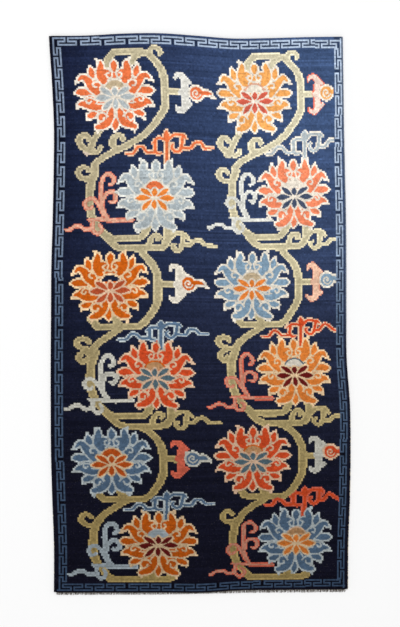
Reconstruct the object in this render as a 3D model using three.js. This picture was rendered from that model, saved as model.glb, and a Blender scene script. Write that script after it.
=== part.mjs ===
// A Tibetan khaden, the knotted wool sleeping rug, lying flat.
// Millimetres, +Z up, +Y towards the end that is uppermost when the rug is looked at from above.
// The origin is under the middle of the rug, on the surface it lies on.

import * as THREE from 'three';

// Driving sizes. The width is over both selvedges and the length is the pile's, both as means.
const MEAN_WIDTH = 895;
const MEAN_LENGTH = 1684;
const FOUNDATION_HEIGHT = 3.5;
const PILE_HEIGHT = 7.5;
const WORN_DEPTH = 0.8;
const UNEVEN_HEIGHT = 0.25;
const SELVEDGE_WIDTH = 5;
const SELVEDGE_HEIGHT = 6;
const GAP = 0.3;
const WARP_STRIP_WIDTH = 2;
const WARP_END_HEIGHT = 1.3;
const WARP_END_COUNT = 176;
const SHORTEST_WARP_END = 0.9;

// How the pile rounds over at its edges: how far in from the edge, and how much lower it is
const RIM_ROWS = [
  { inward: 0, drop: 2.6 },
  { inward: 4.5, drop: 0.5 },
  { inward: 12, drop: 0 },
];

// The section of the overcasting, from the pile outwards, as shares of its width and height
const SELVEDGE_SECTION = [
  { outward: 0, height: 0.45 },
  { outward: 0.25, height: 1 },
  { outward: 0.75, height: 1 },
  { outward: 1, height: 0.45 },
];

// The outline of one cut warp end, as shares of its pitch and of its length
const WARP_END_OUTLINE = [
  { sideways: 0.14, beyond: 0 },
  { sideways: 0.28, beyond: 1 },
  { sideways: 0.66, beyond: 1 },
  { sideways: 0.86, beyond: 0 },
];

// How far the two long sides stand out from an even rectangle, at even steps from the upper
// end of the rug to its lower end. It narrows below its upper end and is widest lower down.
const SIDE_ROWS = [
  { left: 10.5, right: -13.5 },
  { left: 1.5, right: -11.5 },
  { left: -4.5, right: -9.5 },
  { left: -3.5, right: -6.5 },
  { left: -0.5, right: -3.5 },
  { left: 3.5, right: -2.5 },
  { left: 4.5, right: -2.5 },
  { left: 5.5, right: -1.5 },
  { left: 5.5, right: 8.5 },
  { left: 4.5, right: 10.4 },
  { left: 0.5, right: 8.5 },
  { left: -4.5, right: 3.5 },
  { left: -4.5, right: 2.5 },
];

// The same for the two ends of the pile, at even steps from the left side to the right side,
// and how far the cut warps reach past the lower end.
const END_ROWS = [
  { upper: 1, lower: 2, warps: 7.5 },
  { upper: 2, lower: 2, warps: 7 },
  { upper: 8, lower: 2, warps: 6.5 },
  { upper: 9, lower: 2, warps: 6 },
  { upper: 1.5, lower: 2.5, warps: 3 },
  { upper: -7, lower: -4.5, warps: 8.5 },
  { upper: -6, lower: -6, warps: 8.5 },
  { upper: -3, lower: -7, warps: 8.5 },
  { upper: -1.5, lower: -7.5, warps: 8 },
];

// Wool and cotton colours
const NAVY_WOOL = 0x1c2340;
const DARK_WOOL = 0x12131f;
const RAW_WARP = 0xb9b2a8;

// A smooth value at part, from 0 to 1, along one column of a table of even rows
function along(rows, column, part) {
  const steps = rows.length - 1;
  const row = Math.min(Math.floor(part * steps), steps - 1);
  const value = (index) => rows[Math.min(Math.max(index, 0), steps)][column];
  return catmullRom(part * steps - row, value(row - 1), value(row), value(row + 1), value(row + 2));
}

function catmullRom(t, before, from, to, after) {
  const leave = (to - before) / 2;
  const arrive = (after - from) / 2;
  const rise = to - from;
  return from + t * (leave + t * (3 * rise - 2 * leave - arrive + t * (leave + arrive - 2 * rise)));
}

// The point of the rug's plan at across and down, both from 0 to 1: the two sides and the two
// ends are blended, so that every edge keeps its own unevenness.
function planPoint(across, down) {
  const halfWidth = MEAN_WIDTH / 2 - SELVEDGE_WIDTH - GAP;
  const halfLength = MEAN_LENGTH / 2;
  const left = (part) => -halfWidth - along(SIDE_ROWS, 'left', part);
  const right = (part) => halfWidth + along(SIDE_ROWS, 'right', part);
  const upper = (part) => halfLength + along(END_ROWS, 'upper', part);
  const lower = (part) => -halfLength - along(END_ROWS, 'lower', part);
  const mix = THREE.MathUtils.lerp;
  const evenUpper = mix(upper(0), upper(1), across);
  const evenLower = mix(lower(0), lower(1), across);
  const bend = mix(upper(across) - evenUpper, lower(across) - evenLower, down);
  return new THREE.Vector2(
    mix(left(down), right(down), across),
    mix(evenUpper, evenLower, down) + bend,
  );
}

// Even steps from 0 to 1, with the rim's short ones at each end
function rimmedSteps(evenSteps, length) {
  const rim = RIM_ROWS.map((row) => row.inward / length);
  const from = rim.at(-1);
  const even = [];
  for (let index = 1; index < evenSteps; index += 1) {
    even.push(from + ((1 - 2 * from) * index) / evenSteps);
  }
  return [...rim, ...even, ...rim.map((step) => 1 - step).reverse()];
}

const ACROSS_STEPS = rimmedSteps(16, MEAN_WIDTH);
const DOWN_STEPS = rimmedSteps(28, MEAN_LENGTH);

// The point at across on the carpet's lower edge, on the straight stretch between two steps
function lowerEdgePoint(across) {
  const after = Math.max(1, ACROSS_STEPS.findIndex((step) => step >= across));
  const from = ACROSS_STEPS[after - 1];
  const to = ACROSS_STEPS[after];
  return planPoint(from, 1).lerp(planPoint(to, 1), (across - from) / (to - from));
}

// Moves each point of a unit box of even cells to where place(i, j, k) puts its cell corner
function shapedBox(columns, rows, layers, place) {
  const geometry = new THREE.BoxGeometry(1, 1, 1, columns, rows, layers);
  const points = geometry.attributes.position;
  for (let index = 0; index < points.count; index += 1) {
    const column = Math.round((points.getX(index) + 0.5) * columns);
    const row = Math.round((0.5 - points.getY(index)) * rows);
    const layer = Math.round((points.getZ(index) + 0.5) * layers);
    const spot = place(column, row, layer);
    points.setXYZ(index, spot.x, spot.y, spot.z);
  }
  geometry.computeVertexNormals();
  return geometry;
}

// How high the pile stands away from its edges: lower where sleepers have worn it, and a
// little uneven
function pileTop(across, down) {
  const worn = WORN_DEPTH * Math.sin(Math.PI * across) * Math.sin(Math.PI * down);
  const swell = UNEVEN_HEIGHT * Math.sin(9 * across + 2) * Math.sin(13 * down + 1);
  return FOUNDATION_HEIGHT + PILE_HEIGHT - worn + swell;
}

// The knotted cloth: a flat base, upright sides and a pile whose edge is rounded over
function carpet() {
  const columns = ACROSS_STEPS.length - 1;
  const rows = DOWN_STEPS.length - 1;
  return shapedBox(columns, rows, 2, (column, row, layer) => {
    const across = ACROSS_STEPS[column];
    const down = DOWN_STEPS[row];
    const plan = planPoint(across, down);
    const fromEdge = Math.min(column, columns - column, row, rows - row);
    const top = pileTop(across, down) - (RIM_ROWS[fromEdge]?.drop ?? 0);
    return new THREE.Vector3(plan.x, plan.y, [0, FOUNDATION_HEIGHT, top][layer]);
  });
}

// The wool overcasting of one long side: a low bead, flat below and rounded above, whose
// outer edge is the table's
function selvedge(side) {
  const last = SELVEDGE_SECTION.length - 1;
  return shapedBox(last, DOWN_STEPS.length - 1, 1, (column, row, layer) => {
    const inner = planPoint(side === 'left' ? 0 : 1, DOWN_STEPS[row]);
    const spot = SELVEDGE_SECTION[side === 'left' ? last - column : column];
    const reach = GAP + spot.outward * SELVEDGE_WIDTH;
    return new THREE.Vector3(
      inner.x + (side === 'left' ? -reach : reach),
      inner.y,
      layer * spot.height * SELVEDGE_HEIGHT,
    );
  });
}

// A repeatable uneven number from 0 to 1 for each warp end
function unevenNumber(index, kind) {
  const wave = Math.sin(index * 12.9898 + kind * 78.233) * 43758.5453;
  return wave - Math.floor(wave);
}

// The cut warps past the lower end: a narrow woven strip with a comb of short flat strands,
// drawn as one outline and given its thickness, so that all of it lies on the floor
function warpEnds() {
  const bareEnd = 0.004;
  const across = (index) => bareEnd + ((1 - 2 * bareEnd) * index) / WARP_END_COUNT;
  const corner = (at, beyond, sideways = 0) => {
    const root = lowerEdgePoint(at);
    return new THREE.Vector2(root.x + sideways, root.y - GAP - beyond);
  };
  const corners = [corner(across(0), 0)];
  for (let index = 0; index < WARP_END_COUNT; index += 1) {
    const reach = along(END_ROWS, 'warps', across(index + 0.5)) - GAP - WARP_STRIP_WIDTH;
    const length = reach * (0.55 + 0.45 * unevenNumber(index, 1));
    const lean = 1.6 * (unevenNumber(index, 2) - 0.5);
    const shown = WARP_END_OUTLINE.filter((row) => !row.beyond || length > SHORTEST_WARP_END);
    const strip = WARP_STRIP_WIDTH * (0.85 + 0.3 * unevenNumber(index, 3));
    for (const { sideways, beyond } of shown) {
      const at = across(index + sideways);
      corners.push(corner(at, strip + beyond * length, beyond * lean));
    }
  }
  corners.push(corner(across(WARP_END_COUNT), 0));
  const between = ACROSS_STEPS.filter((at) => at > across(0) && at < across(WARP_END_COUNT));
  corners.push(...between.reverse().map((at) => corner(at, 0)));
  const outline = new THREE.Shape(corners);
  return new THREE.ExtrudeGeometry(outline, { depth: WARP_END_HEIGHT, bevelEnabled: false });
}

function piece(name, geometry, colour, roughness) {
  const material = new THREE.MeshStandardMaterial({ color: colour, roughness, metalness: 0 });
  const mesh = new THREE.Mesh(geometry, material);
  mesh.name = name;
  return mesh;
}

const rug = new THREE.Group();
rug.add(piece('carpet', carpet(), NAVY_WOOL, 0.95));
rug.add(piece('selvedge_left', selvedge('left'), DARK_WOOL, 0.9));
rug.add(piece('selvedge_right', selvedge('right'), DARK_WOOL, 0.9));
rug.add(piece('warp_ends', warpEnds(), RAW_WARP, 0.95));

export default rug;
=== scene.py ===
# The looks of a Tibetan khaden, the knotted wool sleeping rug, lying flat. Metres.
import math
from collections import namedtuple

import bpy
import numpy as np
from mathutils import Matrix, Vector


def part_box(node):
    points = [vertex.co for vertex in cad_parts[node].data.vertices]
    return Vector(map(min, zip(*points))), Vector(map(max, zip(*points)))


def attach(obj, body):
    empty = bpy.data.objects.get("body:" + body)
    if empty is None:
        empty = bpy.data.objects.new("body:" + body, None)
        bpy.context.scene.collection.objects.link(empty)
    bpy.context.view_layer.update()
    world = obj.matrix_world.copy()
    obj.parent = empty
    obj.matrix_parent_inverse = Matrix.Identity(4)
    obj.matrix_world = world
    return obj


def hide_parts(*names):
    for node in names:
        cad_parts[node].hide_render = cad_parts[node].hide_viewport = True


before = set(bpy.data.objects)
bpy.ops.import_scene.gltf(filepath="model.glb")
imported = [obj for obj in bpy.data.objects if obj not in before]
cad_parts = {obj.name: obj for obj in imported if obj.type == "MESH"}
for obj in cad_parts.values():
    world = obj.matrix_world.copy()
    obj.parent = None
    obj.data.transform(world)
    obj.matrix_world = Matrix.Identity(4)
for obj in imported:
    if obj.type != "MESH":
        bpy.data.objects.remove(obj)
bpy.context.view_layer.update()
CHANCE = np.random.default_rng(7)

# The CAD part's driving sizes
MEAN_WIDTH = 0.895
MEAN_LENGTH = 1.684
FOUNDATION_HEIGHT = 0.0035
PILE_HEIGHT = 0.0075
WORN_DEPTH = 0.0008
UNEVEN_HEIGHT = 0.00025
SELVEDGE_WIDTH = 0.005
SELVEDGE_HEIGHT = 0.006
GAP = 0.0003
WARP_STRIP_WIDTH = 0.002
WARP_END_HEIGHT = 0.0013
MILLIMETRE = 0.001

# How the pile rounds over at its edges: how far in from the edge, and how much lower it is
RIM_INWARD = (0, 0.0045, 0.012)
RIM_DROP = (0.0026, 0.0005, 0)

# How far the left and right sides stand out from an even rectangle, at even steps from the
# rug's upper end to its lower end, in millimetres
SIDE_ROWS = MILLIMETRE * np.array([
    (10.5, -13.5), (1.5, -11.5), (-4.5, -9.5), (-3.5, -6.5), (-0.5, -3.5), (3.5, -2.5), (4.5, -2.5),
    (5.5, -1.5), (5.5, 8.5), (4.5, 10.4), (0.5, 8.5), (-4.5, 3.5), (-4.5, 2.5),
])

# The same for the pile's upper and lower ends, at even steps from left to right, and how far
# the cut warps reach past the lower end
END_ROWS = MILLIMETRE * np.array([
    (1, 2, 7.5), (2, 2, 7), (8, 2, 6.5), (9, 2, 6), (1.5, 2.5, 3), (-7, -4.5, 8.5), (-6, -6, 8.5),
    (-3, -7, 8.5), (-1.5, -7.5, 8),
])

# How many knots the pile has across and down. Each knot shows as two tufts each way.
COLUMNS = 188
ROWS = 358
TUFTS = 2

# How much larger the first knots are than the middle ones, as a share
KNOT_DRIFT = 0.064

# How far a motif's wool reaches past its own strokes, in knots
PETAL_EDGE = 1.0
ROSETTE_EDGE = 1.0
ROSETTE_CORE = 3.6
DOME_EDGE = 1.0
TIP_EDGE = 0.35
VINE_EDGE = 0.85
RIBBON_EDGE = 0.6
RIBBON_NIB = 1.3
CLOUD_EDGE = 0.4
CLOUD_NIB = (1, 1.3)
CALYX_EDGE = 0.4
BUD_EDGE = 1.2

# How far apart the points of a smooth curve are, in knots, how far round a stroke tufts are
# measured, and what stands for the distance of the others
CURVE_STEP = 0.5
STROKE_MARGIN = 3
FAR_OUTSIDE = 99.0

# How much the weaver's hand wandered from one motif to the next, in knots
HAND = 0.16

# The petals of a blossom's right half, from the ones below to the ones on top. Each is one or
# more strokes, as rows of x, y and radius in knots from its middle, with y down. The left half
# mirrors them.
PETALS = {
    "upper_leaf": [[(13.8, -13.4, 1.2), (14.3, -15.4, 1.9), (15, -18.4, 0.6)]],
    "lower_leaf": [[(12.8, 9, 1.2), (14.8, 9.9, 1.8), (17.2, 10.8, 1.2)]],
    "side": [[(15.4, -3.7, 1.5), (19.4, -3.7, 2), (22.2, -3.7, 1.9), (24.2, -3.6, 0.7)]],
    "lower_side": [
        [(8, 5.4, 1.2), (12.3, 5.6, 1.8), (16.3, 4.9, 2.1), (20, 3.2, 1.7), (22.8, 3.8, 0.7)],
        [(18, 2.6, 2), (16.4, 1.2, 2.2), (14, 1.4, 2)],
    ],
    "upper_side": [
        [(10.4, -1.6, 0.9), (12, -4, 1.8), (14.4, -7.2, 2.3), (16.4, -10.2, 2.1), (18.6, -12.6, 1.6),
            (20.6, -13, 1.3), (22.6, -11.2, 0.6)],
        [(13.6, -9, 1.6), (11.6, -8.8, 1.9), (10.4, -7, 1.4)],
        [(12.2, -4.2, 1.2), (9.8, -3.9, 0.8)],
    ],
    "flame": [
        [(8.2, -21.8, 0.5), (8.2, -20.2, 1.4), (8.5, -18.2, 1.9), (9, -15.5, 2.2), (8.5, -12.8, 2.4),
            (6.8, -10.4, 2), (5.4, -9, 1)],
        [(7, -15.6, 1.5), (4.2, -15.2, 1.5), (3.6, -13.6, 1.6), (5.4, -12.2, 1.6)],
    ],
    "lower": [
        [(2, 6.8, 0.7), (2.8, 9.4, 1.8), (3.6, 12.8, 2), (5.6, 15.8, 1.9), (8.6, 17.3, 1.8),
            (12, 18, 1.3)],
        [(8.8, 14, 2.2), (8.8, 12.2, 2.6)],
    ],
}

# The petals on its middle line
MIDDLE_PETALS = {
    "top": [(0, -21.8, 0.5), (0, -19.2, 2), (0, -16.6, 1)],
    "tuft": [(0, -15, 0.4), (0, -12.6, 1.4)],
    "bottom": [(-0.4, 13, 0.4), (-0.5, 16.6, 1.9), (-0.5, 19.6, 0.5)],
}

# The pale scrolls on its petals, as rows of x and y
SCROLL_RADIUS = 0.6
SCROLLS = {
    "flame": [(0.4, -11.2), (2.4, -11.4), (4.3, -12.6), (4.6, -14.2), (3.2, -15)],
    "upper_side": [(9.4, -9.6), (11.8, -10.2), (13.6, -9), (13.2, -7.2), (11.6, -7.2)],
    "lower_side": [(13.4, 0.4), (16, -0.4), (18.1, 0.7), (18, 2.5), (16.4, 3), (15.4, 1.9)],
    "lower": [(5.2, 11.6), (6.8, 9.6), (9.4, 9), (11.5, 10.4), (11.9, 12.8), (10.2, 14.5), (8.1, 13.9),
        (7.7, 12.2)],
}

# What fills its middle under the petals
HEART = [
    [(0, -13, 3), (0, -9, 5), (0, 0, 6.5), (9, 0, 6)],
    [(7, 7, 3), (10, 9, 2.5), (8, 13.5, 2.5)],
    [(15.4, 1.2, 1.6), (16, 1.8, 1.6)],
]

# Where its pale outline runs out into points
POINTS = {
    "flame": [(8.2, -21, 1.6), (10.8, -23.9, 0.2)],
    "upper_leaf": [(14.8, -17.5, 1.4), (15.6, -20.4, 0.2)],
    "upper_side": [(21.4, -12.4, 1.7), (25.1, -9.3, 0.2)],
    "side": [(23.4, -3.7, 1.5), (26, -3.6, 0.2)],
    "lower_side": [(21.6, 3.8, 1.7), (25.1, 5.8, 0.2)],
    "lower_leaf": [(16.8, 11.6, 1.2), (18.4, 13.4, 0.4)],
    "lower": [(11.4, 18.8, 1.2), (11.8, 21.4, 0.3)],
}

# Its inner rosette and the dome over it
ROSETTE = {
    "side": [(3.2, 0, 0.3), (6.2, 0, 1.4), (8.6, 0, 1.8), (11.9, 0, 0.4)],
    "upper_diagonal": [(1.9, -1.2, 0.4), (5.2, -3.5, 1.5), (8, -5.3, 0.8)],
    "lower_diagonal": [(2, 1.6, 0.4), (5.2, 4.7, 1.5), (7.5, 6.9, 0.7)],
}
MIDDLE_ROSETTE = {
    "top": [(0, -1.2, 0.3), (0, -3.5, 1.7), (0, -5.6, 0.4)],
    "bottom": [(0, 1.2, 0.3), (0, 4.2, 1.7), (0, 6.8, 0.4)],
}
DOME_RADIUS = 6.0
DOME_MIDDLE = -4.4
DOME_BASE = -5.4

# The sprout beside a blossom of the outer rows: one wing of its calyx, its bud and its tail,
# from the middle of the calyx's flat side. The other wing mirrors the first.
WING = [(-3, -8.4, 0.4), (-2, -10.4, 0.9), (0.9, -10.6, 1.4), (3, -8, 1.9), (3, -5, 2),
    (2.6, -2.6, 1.7)]
WING_WAIST = [(1, 0, 1.6), (3.6, 0, 2.2)]
WING_LOBE = [(4.6, -7.6, 1.1), (6.4, -6.4, 0.9)]
BUD = [(0, 0, 4), (0.4, 0.2, 4)]
BUD_TAIL = [(4.2, -0.6, 1.3), (7, -0.6, 1.2), (9.4, 0.2, 0.6)]
BUD_TAIL_POINT = [(8.6, -0.4, 1.6), (12.4, 2.4, 0.3)]

# The coil on the bud: the turns that it starts and ends at, how many rows draw it, how fast
# it grows and how thick it is
COIL_TURNS = (0.15, 1.45)
COIL_STEPS = 12
COIL_GROWTH = 0.33
COIL_RADIUS = 0.48

# The ribbon above a blossom of the inner rows, from the tip of its bud
RIBBON_BUD = [(0, 0.6, 0.3), (0, 3, 1.9), (0, 5, 0.96)]
RIBBON = {
    "stem": [(0, 4.6, 1), (0, 24, 1)],
    "right_arm": [(0.8, 5.6, 0.96), (3.2, 3.2, 0.96), (5.4, 2.3, 0.96), (10.6, 2.3, 1.04),
        (12.6, 4.2, 0.4)],
    "right_fold": [(10.4, 3, 0.96), (9.7, 7, 0.96), (8.6, 10.2, 0.96), (6.2, 11.2, 0.96),
        (3.9, 9.9, 0.88), (3.4, 8.2, 0.72), (4.4, 7.2, 0.5)],
    "left_arm": [(-0.6, 5.2, 0.96), (-5.4, 4.7, 0.96), (-9.2, 7, 0.4)],
    "left_fold": [(-7.2, 5.4, 0.96), (-7.2, 10.8, 0.96), (-5.8, 12.4, 0.96), (-3.2, 12.2, 0.5)],
    "left_tail": [(-7.6, 11.6, 0.96), (-12.4, 11.8, 0.88), (-15.2, 9.2, 0.88), (-18.6, 9, 0.88),
        (-21.4, 12.2, 0.8), (-26, 12.3, 0.5)],
}
RIBBON_TAILS = {
    "long": [(9.8, 8.8, 0.96), (15.6, 8.8, 0.96), (18, 5.9, 0.88), (22.2, 5.7, 0.88), (24.8, 8.2, 0.8),
        (30, 8.3, 0.5)],
    "rising": [(9.8, 8.8, 0.96), (14.6, 8.8, 0.96), (17, 5.9, 0.96), (21.6, 5.7, 0.96)],
    "falling": [(9.8, 9, 0.96), (12.4, 8.9, 0.96), (15.4, 5.4, 0.96), (18.2, 5.3, 0.96),
        (21, 7.8, 0.96), (23.4, 9, 0.8)],
}

# The cloud scroll left of a blossom of the inner rows, from the blossom's middle
CLOUD = {
    "foot": [(-14, 14.9, 0.8), (-28, 14.7, 0.8), (-33, 14, 0.8), (-41, 13.6, 0.5)],
    "main": [(-28.8, 14.6, 0.9), (-32, 9, 0.9), (-33.5, 3, 0.9), (-33.6, -7.5, 0.9),
        (-32.8, -11.8, 0.9), (-30.4, -14.3, 0.9), (-27.4, -13.6, 0.9), (-25.7, -10.8, 0.9),
        (-26.4, -8.2, 0.8), (-28.4, -7.6, 0.6)],
    "second": [(-32.6, 4, 0.8), (-31.8, 0, 0.9), (-29.6, -2.6, 0.9), (-26.8, -2.8, 0.9),
        (-24.6, -0.8, 0.9), (-24.6, 1.8, 0.8), (-26.4, 3.4, 0.8), (-28.2, 2.8, 0.5)],
    "loop": [(-31.8, 11, 0.9), (-34.8, 5, 0.9), (-37.4, 1.5, 0.8), (-40.2, 0.4, 0.8), (-42.7, 1.5, 0.8),
        (-43.5, 4, 0.8), (-42.4, 6.5, 0.7), (-40.2, 7, 0.7), (-38.9, 5.6, 0.5)],
    "heel": [(-38.2, 14.4, 0.8), (-38.9, 18.2, 0.8), (-37.9, 21.4, 0.7), (-35.6, 22.7, 0.7),
        (-33.3, 21.4, 0.7), (-33, 18.9, 0.7), (-34.5, 17.1, 0.5)],
    "tail": [(-39, 19.2, 0.9), (-43, 20.2, 0.8), (-46.2, 18.2, 0.8), (-49.6, 17.6, 0.8),
        (-52.6, 19.4, 0.7), (-54.4, 20.2, 0.6), (-55.8, 19.9, 0.3)],
}

# Centre-lines of the vines, as rows of x and y in knots. Those of "outer" start from an outer
# blossom's middle and those of "inner" from an inner blossom's.
VINE_RADIUS = 1.6
VINE_NIB = 1.35
OUTER_VINE = {
    "fall": [(23.8, -20.6), (27.6, -16.6), (30.2, -11.6), (31.3, -6), (31.3, 5.4), (29.4, 11.4),
        (26.2, 16.6), (22.8, 20.6), (19.4, 23)],
    "bar": [(19.4, 23.2), (-3.6, 23.2), (-7.4, 21.2), (-10, 17.6)],
    "stem": [(4.6, 17.6), (7, 21.6), (8.2, 23.2)],
}
OUTER_FORK = [(9, 23.4), (4.6, 26.4), (-1.4, 30.2), (-7.2, 34.6), (-10.8, 40.2)]
INNER_VINE = {
    "down": [(-37.8, -16.4), (-40, -10.4), (-40.8, -1), (-40.2, 7), (-37.8, 14), (-34.4, 18.8),
        (-31.6, 21.8)],
    "band": [(-32, 21.2), (-27.6, 24.2), (-24.2, 24.8), (-10.4, 24.8), (-6.6, 22.6), (-4, 18.4)],
    "outside": [(-32, 21.4), (-28.4, 25.8), (-24.6, 29.6), (-21.2, 31)],
    "bar": [(-21.2, 31.2), (2.6, 31.2), (6.8, 29), (8.7, 25), (8.6, 18.6)],
}
INNER_FORK = [(-12, 31.6), (-7.6, 33.4)]
LAST_VINE = {
    "down": [(-37.8, -16.4), (-40, -10.4), (-40.8, -1), (-40.2, 7), (-37.8, 13), (-34, 17.6),
        (-30.8, 21), (-28, 22.6)],
    "bar": [(-30.4, 22.6), (4.8, 22.6), (7.8, 20.6), (10.4, 16.8)],
    "stem": [(-4.4, 17.6), (-4.4, 22.6)],
}
FIRST_VINE = {
    "rise": [(-4.2, -20), (-1.8, -24.4), (1.6, -27.4)],
    "bar": [(1.2, -27.6), (17.6, -27.6)],
    "fall": [(17.2, -27.4), (22.6, -25.6), (27, -21.2), (30.4, -16.8), (32, -11.6), (32.3, -5),
        (32.2, 5), (29.8, 10.4), (25.6, 16.2), (21, 21.2), (15.6, 25.4), (6, 30.6), (-2.6, 34),
        (-8.6, 37.2), (-12.4, 40.6)],
    "branch": [(18.4, -26.4), (14.6, -24.2), (11.2, -20.8)],
}
SPROUT_STEM = [(32.6, -3.5), (40, -3.5)]

# Curls on the vines, each wide at its root and blunt at its end
INNER_CURLS = {
    "on_bar": [(-3, 30.2, 1), (-2.4, 27, 0.9), (-1.2, 24.4, 0.8), (1, 23, 0.8), (3.2, 23.7, 0.7),
        (3.5, 25.4, 0.65), (2.3, 26.3, 0.35)],
    "arm": [(8.8, 26.8, 0.9), (12.2, 22.8, 0.7), (15.8, 21.7, 0.7), (19.4, 22.2, 0.7),
        (21.8, 24.8, 0.35)],
    "fold": [(18.4, 23.4, 0.75), (18, 28, 0.7), (16.9, 31.6, 0.8), (14.6, 32.8, 0.7),
        (12.3, 31.4, 0.65), (11.9, 29.5, 0.45), (13.2, 28.6, 0.3)],
}
INNER_TAIL = [(18.4, 28.6, 0.7), (22.8, 28.5, 0.7), (25.8, 26, 0.75), (29.8, 25.8, 0.75),
    (32.8, 28.2, 0.65), (39.8, 29, 0.35)]
INNER_CUT_TAIL = [(18, 30, 0.7), (22.4, 30, 0.7), (24.8, 27.6, 0.7), (28.6, 27.2, 0.7)]
SINGLE_CURL = [(-39.8, -13.6, 1.1), (-45.6, -13.9, 1), (-48.5, -16.6, 1), (-48.3, -19.3, 1),
    (-45.8, -20.9, 0.9), (-43, -20, 0.7), (-42.3, -18.5, 0.45)]
DOUBLE_CURL = {
    "arm": [(-37, -18, 1.2), (-41, -18.6, 1), (-44.4, -18.8, 0.8)],
    "upper": [(-43.4, -19.6, 0.9), (-46.9, -20.4, 1), (-49, -22.8, 1), (-48.4, -25.2, 1),
        (-45.4, -26.2, 1), (-42.2, -24.9, 0.8), (-41.9, -23.2, 0.55)],
    "lower": [(-43.8, -17.8, 0.9), (-46.8, -16.2, 1), (-47.6, -13.2, 1), (-45.4, -10.8, 1),
        (-43.2, -11.8, 0.7), (-42.8, -13.6, 0.45)],
}
FIRST_CURLS = {
    "top": [(22.8, -24.8, 1), (24, -28, 1), (26.6, -29.6, 1), (29.4, -28.8, 0.9), (30.6, -26.8, 0.75),
        (29.8, -25.7, 0.45)],
    "diagonal": [(3.4, 31.8, 1.2), (-0.8, 30.6, 1.3), (-1.8, 27.2, 1.3), (-0.6, 24.4, 1.2),
        (2, 23.4, 1.1), (4.4, 24.6, 0.9), (4.4, 26.4, 0.65)],
    "leaf_stem": [(-9.6, 19.6, 1.2), (-13.4, 25.6, 1.2), (-15.4, 30.6, 1.2)],
    "leaf_left": [(-16.4, 31.8, 1.4), (-20, 30.2, 1.4), (-22.4, 27, 1.3), (-21.8, 23.8, 1.3),
        (-19, 22.4, 1.2), (-16.8, 23.8, 0.8), (-17.2, 25.4, 0.45)],
    "leaf_right": [(-16.4, 32.2, 1.3), (-12.6, 33.4, 1), (-9.8, 32, 0.8), (-9.4, 30, 0.55)],
}
LEAF_BASE = [(-18.4, 33.6, 0.7), (-16.2, 33.6, 0.7)]

# The key fret: the knots from its outer line to its middle one and from that to its inner
# one, and how far its inner bars reach past each break of the outer line
FRET_STEP = 2
FRET_REACH = 6

# Where its outer line runs on each side, as rows of the knot it is on from that knot onwards
TOP_LINE = [(0, 1), (30, 1.5), (170, 2)]
BOTTOM_LINE = [(0, 356), (125, 355.5), (160, 355)]
LEFT_LINE = [(0, 1), (150, 1.5), (270, 2)]
RIGHT_LINE = [(0, 187), (48, 186.5), (68, 186), (256, 185.5)]

# The knots at which it is broken, down or across
TOP_BREAKS = (9, 24, 39, 54, 68, 83, 98, 112, 125, 139, 153, 166, 179)
BOTTOM_BREAKS = (10, 23, 36, 51, 65, 80, 94, 109, 123, 138, 151, 164, 177)
LEFT_BREAKS = (12, 26, 40, 55, 71, 86, 101, 116, 130, 145, 160, 174, 189, 203, 218, 232, 246, 260, 275,
    289, 304, 318, 332, 346)
RIGHT_BREAKS = (13, 28, 42, 56, 71, 86, 101, 116, 130, 145, 159, 173, 187, 202, 216, 230, 244, 258, 273,
    287, 301, 315, 330, 344)

# The first and last knots of its outer line at the ends and at the sides, and those that the
# inner bars keep to
END_RUN, END_BARS = (1, 186), (4, 184)
SIDE_RUN, SIDE_BARS = (1, 356), (7, 350)


def smoothed(points):
    """Points on a smooth curve through the given rows, whatever their columns are."""
    rows = np.array(points, float)
    steps = math.ceil(np.hypot(*np.diff(rows[:, :2], axis=0).T).max() / CURVE_STEP)
    padded = np.vstack([rows[0], rows, rows[-1]])
    t = (np.arange(steps) / steps)[None, :, None]
    curve = hermite(t, *(padded[first:first + len(rows) - 1, None] for first in range(4)))
    return np.vstack([curve.reshape(-1, rows.shape[1]), rows[-1]])


class Drawing:
    """Strokes drawn together on the chart, and how far outside them each tuft lies.

    They are drawn round a middle. The hand is how far their rows may miss their place, and the
    nib is how much wider across than down a stroke is.
    """

    def __init__(self, column=0.0, row=0.0, hand=0.0, nib=1.0, wide=1.0, tall=1.0):
        self.middle = np.array([column, row])
        self.hand = hand
        self.nib = nib
        self.stretch = np.array([wide, tall])
        self.outside = np.full((TUFTS * ROWS, TUFTS * COLUMNS), FAR_OUTSIDE)

    def stroke(self, points, mirrored=False):
        """A stroke through rows of x, y and radius, smooth but for its ends."""
        rows = np.array(points, float)
        rows[:, :2] *= self.stretch
        rows[:, :2] += self.hand * CHANCE.standard_normal(rows[:, :2].shape)
        if mirrored:
            rows[:, 0] *= -1
        curve = smoothed(rows)
        curve[:, :2] += self.middle
        low = np.floor((curve[:, :2] - curve[:, 2:]).min(0) - STROKE_MARGIN).astype(int) * TUFTS
        high = np.ceil((curve[:, :2] + curve[:, 2:]).max(0) + STROKE_MARGIN).astype(int) * TUFTS
        c0, r0 = np.maximum(low, 0)
        c1, r1 = np.minimum(high, (TUFTS * COLUMNS, TUFTS * ROWS))
        if c0 >= c1 or r0 >= r1:
            return
        down, across = (np.mgrid[r0:r1, c0:c1] + 0.5) / TUFTS
        away = across[..., None] - curve[:, 0], self.nib * (down[..., None] - curve[:, 1])
        reach = np.hypot(*away) - curve[:, 2]
        window = self.outside[r0:r1, c0:c1]
        np.minimum(window, reach.min(-1), out=window)

    def strokes(self, table):
        for points in table.values():
            self.stroke(points)

    def pair(self, points):
        self.stroke(points)
        self.stroke(points, mirrored=True)

    def pairs(self, table):
        for points in table.values():
            self.pair(points)

    def fill(self, chart, wool, edge_wool, edge):
        """Gives the strokes their wool, and the tufts up to edge outside them another."""
        chart[self.outside <= edge] = edge_wool
        chart[self.outside <= 0] = wool


def line(points, radius):
    """Rows of x, y and one radius."""
    return [(x, y, radius) for x, y in points]


def spot(radius, y=0):
    """A round spot on a motif's middle line, as a very short stroke."""
    return [(-0.2, y, radius), (0.2, y, radius)]


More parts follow.
